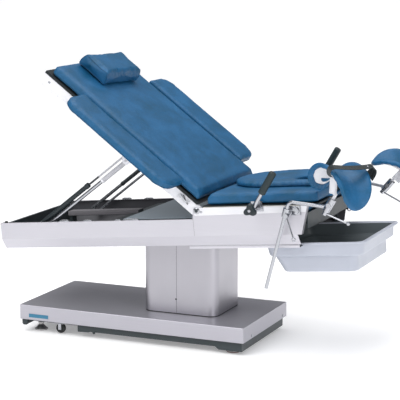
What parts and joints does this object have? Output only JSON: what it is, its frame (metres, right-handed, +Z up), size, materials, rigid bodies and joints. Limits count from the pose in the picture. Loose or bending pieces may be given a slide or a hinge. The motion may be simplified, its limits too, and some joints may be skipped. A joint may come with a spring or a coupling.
{
  "type": "operating table",
  "caption": "Electric gynaecological operating table with a raised padded back, fold-down side pads, stowed leg section, catch basin, hand grips and padded knee crutches on clamped rods.",
  "frame": {"origin": "on the floor, under the pivot axis of the lifting column", "axes": "+X toward the foot end of the table, +Y toward the side away from the picture's camera, +Z up"},
  "size_m": [1.6608, 0.966, 1.1912],
  "materials": {
    "stainless": "brushed stainless sheet",
    "black_metal": "black paint, satin",
    "white_metal": "white powder coat",
    "chrome": "polished",
    "steel": "turned steel",
    "blue_vinyl": "blue upholstery vinyl",
    "black_board": "black laminate",
    "black_plastic": "black moulded plastic",
    "grey_plastic": "grey moulded plastic",
    "white_plastic": "white moulded shell",
    "rubber": "rubber",
    "plate_blue": "blank teal plate",
    "foot_metal": "plated"
  },
  "bodies": {
    "base": {"base_cover": "stainless", "base_frame": "black_metal", "name_plate": "plate_blue", "base_screws": "chrome", "levelling_feet": "foot_metal", "column_lower_cover": "stainless", "column_mast": "steel"},
    "near_castor_swivel": {"near_castor_fork": "chrome"},
    "near_castor_roller": {"near_castor_wheel": "rubber"},
    "far_castor_swivel": {"far_castor_fork": "chrome"},
    "far_castor_roller": {"far_castor_wheel": "rubber"},
    "carriage": {"column_upper_cover": "stainless", "lift_ram": "steel", "tilt_yoke": "black_metal"},
    "tilt_actuator": {"tilt_cylinder": "steel"},
    "tilt_piston": {"tilt_rod": "chrome"},
    "table_frame": {"near_side_beam": "white_metal", "far_side_beam": "white_metal", "frame_members": "black_metal", "cover_plate": "stainless", "seat_board": "black_board", "seat_cushion": "blue_vinyl", "seat_ring_cushion": "blue_vinyl", "accessory_clamps": "chrome"},
    "back_section": {"back_frame": "white_metal", "back_board": "black_board", "back_cushion": "blue_vinyl", "pillow": "blue_vinyl"},
    "release_lever": {"back_release_lever": "chrome"},
    "near_arm_pad": {"near_side_pad": "blue_vinyl"},
    "far_arm_pad": {"far_side_pad": "blue_vinyl"},
    "near_strut_upper": {"near_strut_sleeve": "white_metal"},
    "near_strut_lower": {"near_strut_tube": "chrome"},
    "far_strut_upper": {"far_strut_sleeve": "black_metal"},
    "far_strut_lower": {"far_strut_tube": "black_metal"},
    "leg_section": {"leg_section_frame": "black_metal", "leg_section_pad": "blue_vinyl"},
    "catch_basin": {"basin": "grey_plastic"},
    "near_hand_grip": {"near_grip_stem": "chrome", "near_grip_handle": "black_plastic"},
    "near_knob": {"near_grip_knob": "black_plastic"},
    "near_swivel": {"near_rod_swivel": "chrome"},
    "near_support_rod": {"near_crutch_rod": "chrome"},
    "near_block": {"near_crutch_block": "chrome"},
    "near_lock_lever": {"near_block_lever": "chrome"},
    "near_rail_lever": {"near_clamp_lever": "chrome"},
    "near_knee_crutch": {"near_crutch_bracket": "white_metal", "near_crutch_shell": "white_plastic", "near_crutch_cover": "blue_vinyl"},
    "far_hand_grip": {"far_grip_stem": "chrome", "far_grip_handle": "black_plastic"},
    "far_knob": {"far_grip_knob": "black_plastic"},
    "far_swivel": {"far_rod_swivel": "chrome"},
    "far_support_rod": {"far_crutch_rod": "chrome"},
    "far_block": {"far_crutch_block": "chrome"},
    "far_lock_lever": {"far_block_lever": "chrome"},
    "far_rail_lever": {"far_clamp_lever": "chrome"},
    "far_knee_crutch": {"far_crutch_bracket": "white_metal", "far_crutch_shell": "white_plastic", "far_crutch_cover": "blue_vinyl"}
  },
  "joints": [
    {"name": "column_lift", "type": "slide", "parent": "base", "child": "carriage", "axis": [0, 0, 1], "range_m": [0, 0.24]},
    {"name": "top_tilt", "type": "hinge", "parent": "carriage", "child": "table_frame", "pos_m": [0, 0, 0.4356], "axis": [0, -1, 0], "range_deg": [-19, 10]},
    {"name": "tilt_actuator_swing", "type": "hinge", "parent": "carriage", "child": "tilt_actuator", "pos_m": [0.112, 0, 0.25], "axis": [0, -1, 0], "range_deg": [-6, 6]},
    {"name": "tilt_piston_stroke", "type": "slide", "parent": "tilt_actuator", "child": "tilt_piston", "axis": [-0.0179, 0, 0.9998], "range_m": [-0.045, 0.045]},
    {"name": "back_rest", "type": "hinge", "parent": "table_frame", "child": "back_section", "pos_m": [0.16296, 0, 0.59397], "axis": [0, 1, 0], "range_deg": [-41, 18]},
    {"name": "near_strut_swing", "type": "hinge", "parent": "back_section", "child": "near_strut_upper", "pos_m": [-0.15709, -0.266, 0.77286], "axis": [0, -1, 0], "range_deg": [-64, 30]},
    {"name": "near_strut_stroke", "type": "slide", "parent": "near_strut_upper", "child": "near_strut_lower", "axis": [-0.7841, 0, -0.6207], "range_m": [-0.2, 0.1]},
    {"name": "far_strut_swing", "type": "hinge", "parent": "back_section", "child": "far_strut_upper", "pos_m": [-0.15709, 0.266, 0.77286], "axis": [0, -1, 0], "range_deg": [-64, 30]},
    {"name": "far_strut_stroke", "type": "slide", "parent": "far_strut_upper", "child": "far_strut_lower", "axis": [-0.7841, 0, -0.6207], "range_m": [-0.2, 0.1]},
    {"name": "release_lever_turn", "type": "hinge", "parent": "back_section", "child": "release_lever", "pos_m": [0.09029, -0.298, 0.65042], "axis": [0, 1, 0], "range_deg": [-25, 0]},
    {"name": "near_arm_pad_fold", "type": "hinge", "parent": "back_section", "child": "near_arm_pad", "pos_m": [0.18263, -0.3032, 0.62046], "axis": [0.8028, 0, -0.5962], "range_deg": [0, 88]},
    {"name": "far_arm_pad_fold", "type": "hinge", "parent": "back_section", "child": "far_arm_pad", "pos_m": [0.18263, 0.3032, 0.62046], "axis": [-0.8028, 0, 0.5962], "range_deg": [0, 88]},
    {"name": "leg_section_slide", "type": "slide", "parent": "table_frame", "child": "leg_section", "axis": [0.9957, 0, 0.0931], "range_m": [0, 0.38]},
    {"name": "basin_slide", "type": "slide", "parent": "table_frame", "child": "catch_basin", "axis": [0.9957, 0, 0.0931], "range_m": [-0.2, 0.06]},
    {"name": "near_castor_turn", "type": "hinge", "parent": "base", "child": "near_castor_swivel", "pos_m": [-0.521, -0.214, 0.048], "axis": [0, 0, 1], "continuous": true},
    {"name": "near_castor_roll", "type": "hinge", "parent": "near_castor_swivel", "child": "near_castor_roller", "pos_m": [-0.505, -0.214, 0.024], "axis": [0, 1, 0], "continuous": true},
    {"name": "near_grip_tilt", "type": "hinge", "parent": "table_frame", "child": "near_hand_grip", "pos_m": [0.4225, -0.358, 0.627], "axis": [0, 1, 0], "range_deg": [-40, 40]},
    {"name": "near_knob_turn", "type": "hinge", "parent": "table_frame", "child": "near_knob", "pos_m": [0.4225, -0.358, 0.627], "axis": [0, 1, 0], "continuous": true},
    {"name": "far_castor_turn", "type": "hinge", "parent": "base", "child": "far_castor_swivel", "pos_m": [-0.521, 0.214, 0.048], "axis": [0, 0, 1], "continuous": true},
    {"name": "far_castor_roll", "type": "hinge", "parent": "far_castor_swivel", "child": "far_castor_roller", "pos_m": [-0.505, 0.214, 0.024], "axis": [0, 1, 0], "continuous": true},
    {"name": "far_grip_tilt", "type": "hinge", "parent": "table_frame", "child": "far_hand_grip", "pos_m": [0.4465, 0.358, 0.62924], "axis": [0, 1, 0], "range_deg": [-40, 40]},
    {"name": "far_knob_turn", "type": "hinge", "parent": "table_frame", "child": "far_knob", "pos_m": [0.4465, 0.358, 0.62924], "axis": [0, 1, 0], "continuous": true},
    {"name": "near_swivel_turn", "type": "hinge", "parent": "table_frame", "child": "near_swivel", "pos_m": [0.55222, -0.335, 0.62], "axis": [0, 1, 0], "range_deg": [-18, 5]},
    {"name": "near_rod_height", "type": "slide", "parent": "near_swivel", "child": "near_support_rod", "axis": [0.2484, 0, 0.9687], "range_m": [0, 0.24]},
    {"name": "near_block_roll", "type": "hinge", "parent": "near_support_rod", "child": "near_block", "pos_m": [0.728, -0.3715, 0.661], "axis": [0.9761, -0.2166, -0.0178], "range_deg": [-8, 25]},
    {"name": "near_crutch_turn", "type": "hinge", "parent": "near_block", "child": "near_knee_crutch", "pos_m": [0.743, -0.375, 0.67], "axis": [0.4917, 0, 0.8707], "range_deg": [-30, 30]},
    {"name": "near_lock_lever_turn", "type": "hinge", "parent": "near_block", "child": "near_lock_lever", "pos_m": [0.72948, -0.375, 0.64605], "axis": [0.4917, 0, 0.8707], "range_deg": [-20, 60]},
    {"name": "near_rail_lever_turn", "type": "hinge", "parent": "near_swivel", "child": "near_rail_lever", "pos_m": [0.56122, -0.355, 0.611], "axis": [0, 1, 0], "range_deg": [-15, 25]},
    {"name": "far_swivel_turn", "type": "hinge", "parent": "table_frame", "child": "far_swivel", "pos_m": [0.55222, 0.335, 0.62], "axis": [0, 1, 0], "range_deg": [-26, 20]},
    {"name": "far_rod_height", "type": "slide", "parent": "far_swivel", "child": "far_support_rod", "axis": [0.4287, 0, 0.9035], "range_m": [0, 0.24]},
    {"name": "far_block_roll", "type": "hinge", "parent": "far_support_rod", "child": "far_block", "pos_m": [0.73259, 0.3715, 0.62671], "axis": [0.9548, 0.2166, -0.2037], "range_deg": [-15, 15]},
    {"name": "far_crutch_turn", "type": "hinge", "parent": "far_block", "child": "far_knee_crutch", "pos_m": [0.74904, 0.375, 0.63268], "axis": [0.6488, 0, 0.7609], "range_deg": [-15, 15]},
    {"name": "far_lock_lever_turn", "type": "hinge", "parent": "far_block", "child": "far_lock_lever", "pos_m": [0.73119, 0.375, 0.61175], "axis": [0.6488, 0, 0.7609], "range_deg": [-20, 60]},
    {"name": "far_rail_lever_turn", "type": "hinge", "parent": "far_swivel", "child": "far_rail_lever", "pos_m": [0.55933, 0.355, 0.60945], "axis": [0, 1, 0], "range_deg": [-15, 25]}
  ],
  "couplings": [
    {"joint": "tilt_actuator_swing", "follows": "top_tilt", "ratio": 0.18},
    {"joint": "tilt_piston_stroke", "follows": "top_tilt", "m_per_rad": 0.109},
    {"joint": "near_strut_swing", "follows": "back_rest", "ratio": 1.5137},
    {"joint": "near_strut_stroke", "follows": "back_rest", "m_per_rad": 0.22479},
    {"joint": "far_strut_swing", "follows": "back_rest", "ratio": 1.5137},
    {"joint": "far_strut_stroke", "follows": "back_rest", "m_per_rad": 0.22479}
  ]
}
